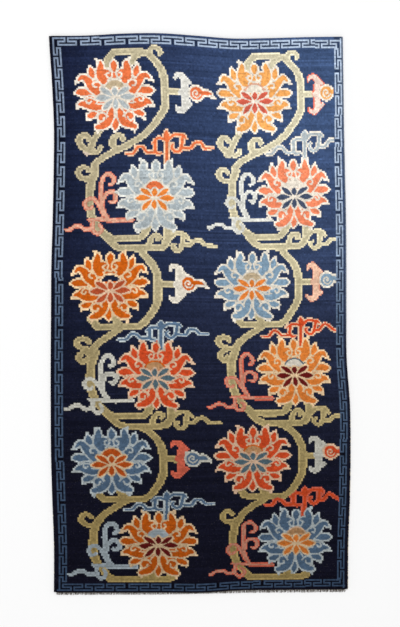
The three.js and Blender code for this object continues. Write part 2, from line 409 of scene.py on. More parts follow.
def place(points, column, row):
    return [(x + column, y + row, *rest) for x, y, *rest in points]


def moved(place, shift):
    return place[0] + shift[0], place[1] + shift[1]


def numbers(wools):
    """The numbers of wools named in one text."""
    return [WOOL_NUMBER[name] for name in wools.split()]


def blossom(chart, heart, shift, wide, wools):
    """A lotus seen from above, with its rosette and the dome over it."""
    petal, edge, rosette, rosette_edge, dome, dome_line = numbers(wools)
    middle = moved(heart, shift)
    points = Drawing(*middle, HAND, wide=wide)
    points.pairs(POINTS)
    chart[points.outside <= TIP_EDGE] = edge
    filling = Drawing(*middle, wide=wide)
    for stroke in HEART:
        filling.pair(stroke)
    chart[filling.outside <= 0] = petal
    centred = Drawing(*middle, HAND, wide=wide)
    centred.strokes(MIDDLE_PETALS)
    centred.fill(chart, petal, edge, PETAL_EDGE)
    for strokes in PETALS.values():
        both = Drawing(*middle, HAND, wide=wide)
        for stroke in strokes:
            both.pair(stroke)
        both.fill(chart, petal, edge, PETAL_EDGE)
    scrolls = Drawing(*middle, HAND, wide=wide)
    for stroke in SCROLLS.values():
        scrolls.pair(line(stroke, SCROLL_RADIUS))
    chart[scrolls.outside <= 0] = edge
    inner = Drawing(*heart, HAND)
    inner.pairs(ROSETTE)
    inner.strokes(MIDDLE_ROSETTE)
    core = Drawing(*heart)
    core.stroke(spot(ROSETTE_CORE))
    arch = Drawing(*heart)
    arch.stroke(spot(DOME_RADIUS, DOME_MIDDLE))
    arch.outside[round(TUFTS * (heart[1] + DOME_BASE)):] = FAR_OUTSIDE
    arch.fill(chart, dome, dome_line, DOME_EDGE)
    chart[core.outside <= 0] = rosette_edge
    inner.fill(chart, rosette, rosette_edge, ROSETTE_EDGE)


def sprout(chart, column, row, bud_at, wools):
    """The calyx and bud on a short stem beside an outer blossom."""
    calyx, calyx_edge, bud, bud_edge = numbers(wools)
    wings = Drawing(column, row, HAND)
    for points in (WING, WING_WAIST, WING_LOBE):
        wings.stroke(points)
        wings.stroke([(x, -y, radius) for x, y, radius in points])
    wings.fill(chart, calyx, calyx_edge, CALYX_EDGE)
    middle = (column + bud_at[0], row + bud_at[1])
    ball = Drawing(*middle, HAND)
    ball.stroke(BUD)
    ball.stroke(BUD_TAIL)
    point = Drawing(*middle, HAND)
    point.stroke(BUD_TAIL_POINT)
    chart[point.outside <= TIP_EDGE] = bud_edge
    ball.fill(chart, bud, bud_edge, BUD_EDGE)
    turns = np.linspace(*COIL_TURNS, COIL_STEPS) * 2 * math.pi
    coil = Drawing(*middle)
    x, y = -COIL_GROWTH * turns * np.cos(turns), COIL_GROWTH * turns * np.sin(turns)
    coil.stroke(line(zip(x, y), COIL_RADIUS))
    chart[coil.outside <= 0] = bud_edge


def ribbon(chart, column, row, tall, tail, wools):
    """The ribbon that flutters from a bud above an inner blossom."""
    drawing = Drawing(column, row, HAND, RIBBON_NIB, tall=tall)
    drawing.strokes(RIBBON)
    drawing.stroke(RIBBON_TAILS[tail])
    drawing.stroke(RIBBON_BUD)
    drawing.fill(chart, *numbers(wools), RIBBON_EDGE)


def cloud(chart, column, row, nib, wools):
    """The cloud scroll left of an inner blossom."""
    drawing = Drawing(column, row, HAND, nib)
    drawing.strokes(CLOUD)
    drawing.fill(chart, *numbers(wools), CLOUD_EDGE)


def led(points, at):
    """A stretch of the vine from a blossom's middle."""
    return place(line(points, VINE_RADIUS), *at)


def vines(chart, outer, inner, curled, right):
    """The vine that winds down one column of blossoms, with its curls and leaf."""
    drawing = Drawing(hand=HAND / 2, nib=VINE_NIB)
    for index, (first, second) in enumerate(zip(outer, inner)):
        last = index == len(inner) - 1
        for points in (OUTER_VINE if index else FIRST_VINE).values():
            drawing.stroke(led(points, first))
        joint = led(FIRST_VINE["fall"][-2:], first)
        if index:
            drawing.stroke(led(INNER_FORK, inner[index - 1]) + led(OUTER_VINE["fall"][:2], first))
            joint = led(OUTER_FORK, first)
        drawing.stroke(joint + led(INNER_VINE["down"][:2], second))
        for points in (LAST_VINE if last else INNER_VINE).values():
            drawing.stroke(led(points, second))
        if not last:
            for points in (*INNER_CURLS.values(), INNER_CUT_TAIL if right else INNER_TAIL):
                drawing.stroke(place(points, *second))
        for points in DOUBLE_CURL.values() if index == 1 else (SINGLE_CURL,):
            drawing.stroke(place(points, *moved(second, curled[index])))
        if index == 0:
            for points in FIRST_CURLS.values():
                drawing.stroke(place(points, *first))
    for heart in outer:
        drawing.stroke(led(SPROUT_STEM, heart))
    base = Drawing(*outer[0], HAND)
    base.stroke(LEAF_BASE)
    chart[base.outside <= VINE_EDGE] = WOOL_NUMBER["vine" if right else "peach"]
    drawing.fill(chart, *numbers("vine vine_edge"), VINE_EDGE)


# The wools that carry their own sun fading and painted light and shade, and the others, as red, green and
# blue from 0 to 255
LIT_AND_FADED_WOOLS = ("navy", "fret", "vine", "vine_edge", "gap")
WOOLS = {
    "peach": (206, 188, 169),
    "cream": (236, 226, 210),
    "ivory": (220, 218, 210),
    "blush": (232, 196, 164),
    "buff": (240, 208, 166),
    "pearl": (230, 222, 206),
    "mist": (196, 205, 206),
    "orange": (232, 118, 70),
    "gold": (240, 168, 94),
    "coral": (241, 138, 100),
    "flame": (214, 101, 22),
    "amber": (234, 134, 58),
    "vermilion": (224, 83, 42),
    "brick": (208, 96, 76),
    "rust": (200, 88, 30),
    "crimson": (188, 84, 49),
    "maroon": (112, 28, 26),
    "pink": (238, 214, 200),
    "salmon": (224, 168, 142),
    "shell": (240, 196, 168),
    "clay": (214, 146, 122),
    "rose": (222, 108, 84),
    "wine": (206, 120, 98),
    "grey": (178, 186, 188),
    "dove": (176, 186, 190),
    "slate": (92, 117, 144),
    "steel": (134, 162, 184),
    "teal": (92, 114, 124),
    "ink": (69, 80, 103),
    "khaki": (196, 149, 105),
    "tan": (196, 176, 144),
    "smoke": (178, 190, 197),
    "fog": (206, 204, 192),
    "frost": (216, 216, 208),
}
WOOL_NUMBER = {name: number for number, name in enumerate((*LIT_AND_FADED_WOOLS, *WOOLS))}

# The blossoms of the outer rows: the middle of the rosette, how far the petals are shifted
# from it, how wide they are drawn, how far the vine is shifted from the blossom, where the
# sprout's flat side and its bud stand, and the wools of petals, edge, rosette, its edge, dome and
# the dome's line, and of the sprout's calyx and bud, each with its edge
Outer = namedtuple("Outer", "heart shift wide vine sprout bud wools sprout_wools")
OUTER = [
    Outer((37.8, 38.3), (0, 0), 0.98, -0.5, (41.6, -2.9), (10.2, -0.2),
          "orange cream grey cream tan cream", "ivory ivory orange cream"),
    Outer((35.3, 159), (-0.3, -1.6), 0.94, -1.6, (40.3, -4.4), (8.7, -0.6),
          "flame buff crimson blush navy buff", "pearl pearl flame cream"),
    Outer((35.6, 271.9), (0, -0.9), 0.945, 0.4, (40.3, -3.6), (9.8, -0.6),
          "slate mist rust buff rust buff", "rose rose slate fog"),
    Outer((128.4, 38.8), (0, -1), 0.97, -1.2, (39.6, -3.6), (9, -1),
          "gold cream brick cream pearl salmon", "pink rose gold cream"),
    Outer((125.5, 156.8), (0.3, -0.2), 0.965, -0.5, (39.9, -3.6), (10.2, -1.4),
          "steel pearl amber pearl tan pearl", "shell clay steel pearl"),
    Outer((124.6, 270.5), (-0.2, -0.5), 0.955, 0.9, (40.2, -4.4), (10.6, -1.6),
          "vermilion blush teal blush khaki flame", "fog fog vermilion blush"),
]

# The blossoms of the inner rows: the same, but in place of the sprout with how far the curl on
# the vine is shifted, where the ribbon's bud tip is, how tall the ribbon is drawn, which tail it
# has, and how far the cloud is shifted, all from the blossom's middle
Inner = namedtuple(
    "Inner", "heart shift wide vine curl ribbon tall tail cloud wools ribbon_wools cloud_wools")
INNER = [
    Inner((62.3, 100.9), (0.8, -0.3), 0.965, 0, (0.8, 0.8), (7.6, -42.3), 1.2, "long", (0, -1.2),
          "dove frost amber pearl orange pearl", "orange blush", "salmon wine"),
    Inner((63.2, 215.3), (0.7, -0.5), 0.94, 0.7, (0, 0), (3.8, -37.4), 1, "long", (0, -0.3),
          "vermilion blush teal blush khaki flame", "slate mist", "fog fog"),
    Inner((63.6, 326.2), (0.5, 0.5), 0.96, 0.3, (1, -0.4), (5.6, -36.6), 1, "long", (0.2, -0.6),
          "flame buff maroon buff smoke mist", "slate mist", "smoke smoke"),
    Inner((154, 98.8), (-0.4, -0.7), 0.945, -1.2, (-0.6, 3.2), (7.4, -42), 1.2, "rising", (-1.6, -0.6),
          "coral cream ink cream cream cream", "dove pearl", "frost frost"),
    Inner((153.4, 213.5), (-0.1, -1), 0.95, -0.8, (0, 0.6), (4.6, -38), 1, "falling", (-1.6, 0.2),
          "amber buff maroon buff pearl teal", "vermilion blush", "clay rose"),
    Inner((153.5, 326), (-0.6, -0.3), 0.95, -1.2, (1.2, -1.4), (4.8, -38.4), 1, "falling", (-1.6, -0.2),
          "slate mist amber buff khaki blush", "vermilion rose", "clay rose"),
]
ROWS_OF_BLOSSOMS = 3

# The column of knots at which the motifs end on the right, short of the fret
MOTIF_END = 182

# A knot is ground where more than this many of its tufts are
GROUND_SHARE = 2


def fret(chart):
    """The key fret round the edge: an outer line, broken where each inner bar begins to turn."""
    sides = (
        (chart, LEFT_LINE, LEFT_BREAKS, SIDE_RUN, SIDE_BARS, 1),
        (chart, RIGHT_LINE, RIGHT_BREAKS, SIDE_RUN, SIDE_BARS, -1),
        (chart.T, TOP_LINE, TOP_BREAKS, END_RUN, END_BARS, 1),
        (chart.T, BOTTOM_LINE, BOTTOM_BREAKS, END_RUN, END_BARS, -1),
    )
    for wool in ("gap", "fret"):
        for cells, line_rows, breaks, run, bars, inwards in sides:
            band = fret_band(breaks, run, bars)
            for step, inward in np.argwhere(band == (wool == "fret")):
                at = [knot for start, knot in line_rows if start <= step][-1] + inwards * inward
                first, second = TUFTS * step, round(TUFTS * at)
                cells[first:first + TUFTS, second:second + TUFTS] = WOOL_NUMBER[wool]


def fret_band(breaks, run, bars):
    """One side of the fret, along it and inwards."""
    band = np.zeros((run[1] + 1, 2 * FRET_STEP + 1), bool)
    band[run[0]:, 0] = True
    between = [(first + second + 1) // 2 for first, second in zip(breaks, breaks[1:])]
    free = (bars[0] - 1, *between, bars[1] + 1)
    for gap, before, after in zip(breaks, free, free[1:]):
        start = max(gap - FRET_REACH, before + 1)
        end = min(gap + FRET_REACH, after - 1)
        band[gap, 0] = False
        band[start:gap, FRET_STEP] = True
        band[gap + 1:end + 1, FRET_STEP] = True
        band[[gap - 1, gap + 1], :FRET_STEP + 1] = True
        band[[start, end], FRET_STEP:] = True
        band[start:end + 1, 2 * FRET_STEP] = True
    return band


def stepped(chart):
    """The chart with its outlines in whole knots: no knot is part ground and part motif."""
    navy = WOOL_NUMBER["navy"]
    knots = chart.reshape(ROWS, TUFTS, COLUMNS, TUFTS).transpose(0, 2, 1, 3).reshape(ROWS, COLUMNS, -1)
    ground = (knots == navy).sum(-1) > GROUND_SHARE
    motif = knots.max(-1)
    around = np.pad(motif, 1)
    beside = np.stack([around[:-2, 1:-1], around[2:, 1:-1], around[1:-1, :-2], around[1:-1, 2:]])
    speck = ground & (beside != navy).all(0)
    own = np.where(knots == navy, motif[..., None], knots)
    own[ground] = navy
    own[speck] = beside.max(0)[speck][:, None]
    return own.reshape(ROWS, COLUMNS, TUFTS, TUFTS).transpose(0, 2, 1, 3).reshape(chart.shape)


def draw_chart():
    """The wool of each tuft, by row and column."""
    chart = np.zeros((TUFTS * ROWS, TUFTS * COLUMNS), int)
    for side in (0, 1):
        rows = slice(side * ROWS_OF_BLOSSOMS, (side + 1) * ROWS_OF_BLOSSOMS)
        outer, inner = OUTER[rows], INNER[rows]
        middles = [[moved(row.heart, (row.vine, 0)) for row in column] for column in (outer, inner)]
        vines(chart, *middles, [row.curl for row in inner], side == 1)
        for row in inner:
            ribbon(chart, *moved(row.heart, row.ribbon), row.tall, row.tail, row.ribbon_wools)
            cloud(chart, *moved(row.heart, row.cloud), CLOUD_NIB[side], row.cloud_wools)
        for row in outer:
            sprout(chart, *moved(row.heart, row.sprout), row.bud, row.sprout_wools)
        for row in (*outer, *inner):
            blossom(chart, row.heart, row.shift, row.wide, row.wools)
    chart[:, TUFTS * MOTIF_END:] = WOOL_NUMBER["navy"]
    chart = stepped(chart)
    fret(chart)
    return chart

def hermite(t, before, start, end, after):
    """A smooth value at t from start to end, which the values beyond both bend."""
    leave, arrive, rise = (end - before) / 2, (after - start) / 2, end - start
    return start + t * (leave + t * (3 * rise - 2 * leave - arrive + t * (leave + arrive - 2 * rise)))


def along(values, part):
    """A smooth value at part, from 0 to 1, along even rows."""
    steps = len(values) - 1
    row = np.minimum(np.floor(part * steps).astype(int), steps - 1)
    near = (values[np.clip(row + shift, 0, steps)] for shift in (-1, 0, 1, 2))
    return hermite(part * steps - row, *near)


def mix(start, end, part):
    return start + (end - start) * part


def plan_points(across, down):
    """The x and y of the carpet's plan at across and down, both from 0 to 1."""
    half_width = MEAN_WIDTH / 2 - SELVEDGE_WIDTH - GAP
    half_length = MEAN_LENGTH / 2
    left = -half_width - along(SIDE_ROWS[:, 0], down)
    right = half_width + along(SIDE_ROWS[:, 1], down)
    upper = half_length + along(END_ROWS[:, 0], across)
    lower = -half_length - along(END_ROWS[:, 1], across)
    even_upper = half_length + mix(END_ROWS[0, 0], END_ROWS[-1, 0], across)
    even_lower = -half_length - mix(END_ROWS[0, 1], END_ROWS[-1, 1], across)
    bend = mix(upper - even_upper, lower - even_lower, down)
    return mix(left, right, across), mix(even_upper, even_lower, down) + bend


def knot_steps(count):
    """Even steps in knots from 0 to 1 on the plan: the knots are larger at the start."""
    part = np.arange(count + 1) / count
    return part + KNOT_DRIFT * part * (1 - part)


def check_outline():
    """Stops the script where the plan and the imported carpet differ."""
    across, down = np.meshgrid(knot_steps(COLUMNS), knot_steps(ROWS))
    x, y = plan_points(across, down)
    low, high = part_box("carpet")
    reach = np.array([x.min() - low[0], y.min() - low[1], x.max() - high[0], y.max() - high[1]])
    if np.abs(reach).max() > MILLIMETRE:
        raise ValueError(f"the outline departs from the packed carpet by {reach} m")


def pile_height(across, down):
    """The top of the pile: worn in the middle, a little uneven, and rounded over at its edges."""
    worn = WORN_DEPTH * np.sin(math.pi * across) * np.sin(math.pi * down)
    swell = UNEVEN_HEIGHT * np.sin(9 * across + 2) * np.sin(13 * down + 1)
    inward = np.minimum(
        MEAN_WIDTH * np.minimum(across, 1 - across),
        MEAN_LENGTH * np.minimum(down, 1 - down),
    )
    return FOUNDATION_HEIGHT + PILE_HEIGHT - worn + swell - np.interp(inward, RIM_INWARD, RIM_DROP)


def linear(colour):
    """The linear red, green and blue of colours given from 0 to 255."""
    part = np.array(colour, float) / 255
    return np.where(part <= 0.04045, part / 12.92, ((part + 0.055) / 1.055) ** 2.4)


def new_piece(name, points, faces):
    """A smoothly shaded object in the scene."""
    mesh = bpy.data.meshes.new(name)
    mesh.from_pydata(np.asarray(points).reshape(-1, 3).tolist(), [], faces)
    mesh.shade_smooth()
    piece = bpy.data.objects.new(name, mesh)
    bpy.context.scene.collection.objects.link(piece)
    return piece


def grid_faces(rows, columns, start=0):
    """The four corners of each cell of a grid of points, counter-clockwise from above."""
    row, column = np.mgrid[0:rows, 0:columns]
    first = start + row * (columns + 1) + column
    corners = (first, first + columns + 1, first + columns + 2, first + 1)
    return np.stack(corners, -1).reshape(-1, 4)


def store(mesh, name, kind, domain, values):
    """Keeps values on a mesh's points or faces."""
    field = "color" if kind == "FLOAT_COLOR" else "value"
    attribute = mesh.attributes.new(name, kind, domain)
    attribute.data.foreach_set(field, np.ascontiguousarray(values, np.float32).ravel())


def opaque(colours):
    """Colours with a fourth value of one."""
    return np.concatenate([colours, np.ones((*colours.shape[:-1], 1))], -1)

# The pile is made in four bands of rows. The middle of a tuft stands up, the grooves between
# rows and between wools lie deeper, and the tufts are uneven, as the knots are on the back.
PILE_BANDS = 4
TUFT_DOME = 0.00035
ROW_GROOVE = 0.0002
TUFT_UNEVEN = 0.00012
COLOUR_GROOVE = 0.00022
BACK_UNEVEN = 0.00025

# How the dye varies: from knot to knot, from row to row and in streaks along the rows
KNOT_VARIATION = 0.12
ROW_VARIATION = 0.045
STREAK_VARIATION = 0.11
STREAK_LENGTH = 12

# The indigo, the fret's wool and the vine's, partly faded by the sun and partly painted light: a painted
# sheen lightens them at the upper right and painted shade darkens them at the lower end. Their colours at
# the upper left, at the upper right and at the lower end, and where down the rug they change
INDIGO = {"left": (8, 11, 28), "right": (68, 90, 129), "lower": (12, 12, 24),
          "down": (0.154, 0.366, 0.577, 0.789, 1), "gone": (0, 0.156, 0.5, 0.844, 1)}
FRET = {"left": (111, 126, 149), "right": (190, 207, 229), "lower": (48, 64, 86),
        "down": (0, 0.25, 0.37, 0.5, 0.7, 1), "gone": (0, 0.05, 0.2, 0.6, 0.78, 1)}
VINE = {"left": (129, 116, 88), "right": (220, 213, 184), "lower": (124, 107, 66),
        "down": (0.21, 0.4, 0.595, 0.79, 0.98), "gone": (0, 0.156, 0.5, 0.844, 1)}

# How early the wool gets lighter from left to right, by fading and by painted sheen: 1 is evenly, less is
# sooner
LIGHT_AND_FADE_BEND = 0.3

# How much lighter a motif's tufts are along its outline, over how many tufts, how light the
# ground in the fret is beside the rest and the vine's edge beside the vine, and how much of
# the streaks the motifs show
EDGE_LIGHT = 1.24
EDGE_TUFTS = 2
GAP_SHARE = 0.5
VINE_EDGE_LIGHT = 1.25
MOTIF_STREAKS = 0.4

# How much painted light and shade the other wools carry: how light they are at the left and the right
# side, how dark painted shade leaves them at the lower end, and where down the rug that changes
OTHER_LEFT, OTHER_RIGHT = 0.94, 1.06
OTHER_LOWER = 0.46
OTHER_FROM, OTHER_TO = 0.15, 1.0

# The map for the finish of a knotted piece, as parts of its square: the margin, how far down its
# face reaches, how high the strip for its sides is, and where the strip for its base starts
MAP_MARGIN = 0.01
MAP_FACE = 0.94
MAP_STRIP = 0.012
MAP_BASE = 2.4 * MAP_STRIP


def boundary(rows, columns):
    """The points round a grid, in order, from its first corner and counter-clockwise from above."""
    wide = columns + 1
    left = np.arange(rows) * wide
    lower = rows * wide + np.arange(columns)
    right = (rows - np.arange(rows)) * wide + columns
    upper = columns - np.arange(columns)
    return np.concatenate([left, lower, right, upper])


def closed(top, base):
    """A grid of points with upright sides down to a flat base: its points, faces and outer points."""
    rows, columns = top.shape[0] - 1, top.shape[1] - 1
    edge = boundary(rows, columns)
    points = top.reshape(-1, 3)
    below = points[edge].copy()
    below[:, 2] = base
    foot = len(points) + np.arange(len(edge))
    walls = np.stack([edge, foot, np.roll(foot, -1), np.roll(edge, -1)], -1)
    faces = [*grid_faces(rows, columns).tolist(), *walls.tolist(), foot[::-1].tolist()]
    return np.vstack([points, below]), faces, edge


def crease(mesh, edge):
    """Keeps the shading sharp along the rim of a closed grid's face and base."""
    rim = set(zip(edge.tolist(), np.roll(edge, -1).tolist()))
    rim |= {(b, a) for a, b in rim}
    pairs = np.empty(2 * len(mesh.edges), np.int32)
    mesh.edges.foreach_get("vertices", pairs)
    pairs = pairs.reshape(-1, 2)
    first_foot = len(mesh.vertices) - len(edge)
    sharp = [tuple(pair) in rim or min(pair) >= first_foot for pair in pairs.tolist()]
    mesh.edges.foreach_set("use_edge_sharp", sharp)


def eased(part, start, end):
    """How far a part has gone from start to end, from 0 to 1, with a soft start and end."""
    t = np.clip((part - start) / (end - start), 0, 1)
    return t * t * (3 - 2 * t)


def lit_and_faded(wool, across, down):
    """The colour of a wool, faded by the sun and with painted light and shade: lighter at the upper
    right, darker at the lower end.
    """
    left, right, lower = (np.log(linear(wool[place])) for place in ("left", "right", "lower"))
    upper = mix(left, right, across ** LIGHT_AND_FADE_BEND)
    return np.exp(mix(upper, lower, np.interp(down, wool["down"], wool["gone"])))


def dyed(chart, tufts, light_and_fade_across=1.0):
    """The colour of each place on a chart with that many tufts each way to a knot.

    The wools carry sun fading and painted light and shade, lighter towards the upper right and darker
    towards the lower end, and the dye took unevenly from knot to knot and along the rows.
    """
    rows, columns = chart.shape
    down = ((np.arange(rows) + 0.5) / rows)[:, None, None]
    across = light_and_fade_across * ((np.arange(columns) + 0.5) / columns)[None, :, None]
    # These wools carry sun fading with a painted sheen at the upper right and painted shade at the lower
    # end
    navy, vine = lit_and_faded(INDIGO, across, down), lit_and_faded(VINE, across, down)
    own = {"navy": navy, "fret": lit_and_faded(FRET, across, down), "vine": vine,
           "vine_edge": VINE_EDGE_LIGHT * vine, "gap": navy * GAP_SHARE}
    # Painted light and shade on the other wools: lighter at the right, darker towards the lower end
    other = mix(1, OTHER_LOWER, eased(down, OTHER_FROM, OTHER_TO)) * mix(OTHER_LEFT, OTHER_RIGHT, across)
    wools = np.vstack([np.zeros((len(LIT_AND_FADED_WOOLS), 3)), linear(list(WOOLS.values()))])
    colours = wools[chart] * other
    for name in LIT_AND_FADED_WOOLS:
        colours = np.where((chart == WOOL_NUMBER[name])[..., None], own[name], colours)
    colours = np.where(beside_ground(chart)[..., None], EDGE_LIGHT * colours, colours)
    knots = (rows // tufts, columns // tufts)
    streaks = STREAK_VARIATION * smoothed_noise(knots, STREAK_LENGTH)
    streaks += ROW_VARIATION * CHANCE.standard_normal((knots[0], 1))
    own_shade = KNOT_VARIATION * CHANCE.standard_normal(knots)
    streaks, own_shade = (np.kron(part, np.ones((tufts, tufts))) for part in (streaks, own_shade))
    streaks *= np.where(chart == WOOL_NUMBER["navy"], 1, MOTIF_STREAKS)
    return colours * np.exp(streaks + own_shade)[..., None]


def beside_ground(chart):
    """Which tufts of the motifs lie along their outlines."""
    ground = chart == WOOL_NUMBER["navy"]
    near = ground.copy()
    for step in range(1, EDGE_TUFTS + 1):
        for axis in (0, 1):
            near |= np.roll(ground, step, axis) | np.roll(ground, -step, axis)
    return near & ~ground & ~np.isin(chart, numbers("fret gap"))


def smoothed_noise(shape, length):
    """Uneven numbers that keep for about that many columns along each row."""
    rows, columns = shape
    reach = np.arange(-3 * length, 3 * length + 1)
    kernel = np.exp(-0.5 * (reach / length) ** 2)
    kernel /= math.sqrt((kernel ** 2).sum())
    noise = CHANCE.standard_normal((rows, columns + len(kernel) - 1))
    return np.stack([np.convolve(row, kernel, "valid") for row in noise])


def corner_mean(values):
    """The mean of the cells that meet at each corner of a grid."""
    padded = np.pad(values, ((1, 1), (1, 1), (0, 0)), "edge")
    return (padded[:-1, :-1] + padded[1:, :-1] + padded[:-1, 1:] + padded[1:, 1:]) / 4


def pile_surface(chart):
    """The points of the pile's top, at the corners of its tufts."""
    rows, columns = chart.shape
    across, down = np.meshgrid(knot_steps(columns), knot_steps(rows))
    x, y = plan_points(across, down)
    odd_row = (np.arange(rows + 1) % TUFTS == 1)[:, None]
    odd_column = (np.arange(columns + 1) % TUFTS == 1)[None, :]
    dome = TUFT_DOME * (odd_row * odd_column - 0.5) - ROW_GROOVE * (~odd_row - 0.5)
    uneven = TUFT_UNEVEN * CHANCE.standard_normal(across.shape)
    padded = np.pad(chart, 1, "edge")
    cells = (padded[:-1, :-1], padded[1:, :-1], padded[:-1, 1:], padded[1:, 1:])
    meets = np.max(cells, 0) != np.min(cells, 0)
    z = pile_height(across, down) + dome + uneven - COLOUR_GROOVE * meets
    return np.stack([x, y, z], -1)


def lay_out(mesh, rows, columns):
    """The map for a knotted piece's finish: its face over most of the square, the rest in strips."""
    wide, high = 1 - 2 * MAP_MARGIN, MAP_FACE - MAP_MARGIN
    across, down = np.meshgrid(np.arange(columns + 1) / columns, np.arange(rows + 1) / rows)
    plan = np.stack([MAP_MARGIN + wide * across, 1 - MAP_MARGIN - high * down], -1).reshape(-1, 2)
    edge = boundary(rows, columns)
    step = np.arange(len(edge) + 1) / len(edge)
    foot = np.stack([MAP_MARGIN + wide * step, np.full(len(step), MAP_STRIP)], -1)
    rim = foot + (0, MAP_STRIP)
    walls = np.stack([rim[:-1], foot[:-1], foot[1:], rim[1:]], 1)
    around = plan[edge][::-1]
    base = np.stack([around[:, 0], MAP_BASE + MAP_STRIP * (around[:, 1] - (1 - MAP_FACE))], -1)
    layer = mesh.uv_layers.new(name="OFBake")
    values = np.concatenate([plan[grid_faces(rows, columns)].reshape(-1, 2), walls.reshape(-1, 2), base])
    layer.data.foreach_set("uv", values.astype(np.float32).ravel())


def knotted(name, top, colours):
    """A closed piece from a grid of points that shows a colour in each of the grid's cells.

    The colours are given with those of the corners, into which they blend. Its sides take up
    the colours beside them, and its base the mean of them all.
    """
    cells, corners = colours
    rows, columns = cells.shape[:2]
    points, faces, edge = closed(top, FOUNDATION_HEIGHT)
    piece = new_piece(name, points, faces)
    mesh = piece.data
    row, column = np.divmod(edge, columns + 1)
    sides = cells[np.minimum(row, rows - 1), np.minimum(column, columns - 1)]
    cells = np.vstack([cells.reshape(-1, 3), sides, cells.mean((0, 1))[None]])
    corners = corners.reshape(-1, 3)
    store(mesh, "wool", "FLOAT_COLOR", "FACE", opaque(cells))
    store(mesh, "wool_blend", "FLOAT_COLOR", "POINT", opaque(np.vstack([corners, corners[edge]])))
    crease(mesh, edge)
    lay_out(mesh, rows, columns)
    return piece


def pile_bands(chart):
    """The cut pile, a band of rows at a time."""
    surface = pile_surface(chart)
    colours = dyed(chart, TUFTS)
    corners = corner_mean(colours)
    band = TUFTS * ROWS // PILE_BANDS
    for number in range(PILE_BANDS):
        first, last = number * band, (number + 1) * band
        own = colours[first:last], corners[first:last + 1]
        yield knotted(f"pile_{number + 1}", surface[first:last + 1], own)


def woven_back(chart):
    """The foundation under the pile, which shows the pattern from below, a knot at a time."""
    knots = chart[::TUFTS, ::TUFTS][:, ::-1]
    rows, columns = knots.shape
    across, down = np.meshgrid(knot_steps(columns)[::-1], knot_steps(rows))
    x, y = plan_points(across, down)
    z = BACK_UNEVEN * CHANCE.random(across.shape)
    z[0] = z[-1] = z[:, 0] = z[:, -1] = BACK_UNEVEN
    # The back takes the same fading and painted shade towards the lower end, without the lighter right
    # side
    colours = dyed(knots, 1, 0.0)
    return knotted("woven_back", np.stack([x, y, z], -1), (colours, corner_mean(colours)))

# The overcasting of the long sides: how far apart its turns are, how they stand out, lean and
# differ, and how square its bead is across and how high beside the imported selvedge
TURN_PITCH = 0.0036
TURN_STEPS = 4
TURN_RELIEF = 0.13
TURN_LEAN = 0.35
TURN_UNEVEN = 0.05
TURN_SHADE = 0.12
BEAD_POINTS = 9
BEAD_SQUARENESS = 0.55
BEAD_HEIGHT = 0.95

# Where down the rug the overcasting has worn away, over how much of its outer slope, and how
# much of each side's
WORN_FROM, WORN_TO = 0.6, 0.85
WORN_FACES = 3
WORN_SHARE = {"left": 0.03, "right": 0.55}

# Where down the rug the right side's overcasting stops being lighter, partly by sun bleaching and partly
# by a painted sheen
LIT_BLEACHED_FROM, LIT_BLEACHED_TO = 0.42, 0.6

# The cut warps of the lower end: two to a knot, how they are cut, lean, curl, swell and taper,
# and where they leave the strip
WARPS_PER_KNOT = 2
WARP_RADIUS = 0.00095
WARP_THINNEST, WARP_THICKER = 0.8, 0.35
WARP_SIDES = 5
WARP_STEPS = 4
WARP_SHORTEST = 0.75
WARP_FRAY = 0.0026
WARP_LEAN = 0.0011
WARP_CURL = 0.0007
WARP_SWELL, SWELL_PACE, SWELL_START = 0.25, 9, 6
WARP_TAPER = 0.35
WARP_SHADE = 0.12
WARP_ROOT = 0.8

# The strip of plain weave that they leave, short of the corners by a part of the width
STRIP_ROWS = 3
STRIP_SHADE = 0.92
WEAVE_RELIEF = 0.0003
BARE_END = 0.004


def by_turn(turns):
    """Uneven numbers down the overcasting that keep over each turn."""
    return np.repeat(CHANCE.standard_normal(turns + 1), TURN_STEPS)


def bead(outward, turns, down):
    """The points of the bead of slanting turns: one row of them at each place down."""
    edge_x, edge_y = plan_points(np.full(len(down), 0.0 if outward < 0 else 1.0), down)
    angle = np.linspace(0, math.pi, BEAD_POINTS)
    across = 0.5 - 0.5 * np.cos(angle)
    height = np.sin(angle) ** BEAD_SQUARENESS
    height[[0, -1]] = 0
    wave = down[:, None] * turns + TURN_LEAN * across[None, :] * outward
    ridge = 1 - TURN_RELIEF * (2 * np.abs(wave % 1 - 0.5)) ** 3
    swell = ridge * (1 + TURN_UNEVEN * by_turn(turns)[:len(down), None])
    reach = SELVEDGE_WIDTH * (0.5 + (across[None, :] - 0.5) * np.minimum(swell, 1))
    x = edge_x[:, None] + outward * (GAP + reach)
    y = np.broadcast_to(edge_y[:, None], x.shape)
    z = SELVEDGE_HEIGHT * BEAD_HEIGHT * height[None, :] * swell
    return np.stack([x, y, z], -1)[:, ::outward]


def bead_faces(rows):
    """The faces of the bead, then those of its flat base and its two ends."""
    ring = np.arange(BEAD_POINTS)
    row = np.arange(rows) * BEAD_POINTS
    base = np.stack([row, row + BEAD_POINTS - 1, row + 2 * BEAD_POINTS - 1, row + BEAD_POINTS], -1)
    ends = [ring[::-1].tolist(), (rows * BEAD_POINTS + ring).tolist()]
    return [*grid_faces(rows, BEAD_POINTS - 1).tolist(), *base.tolist(), *ends]


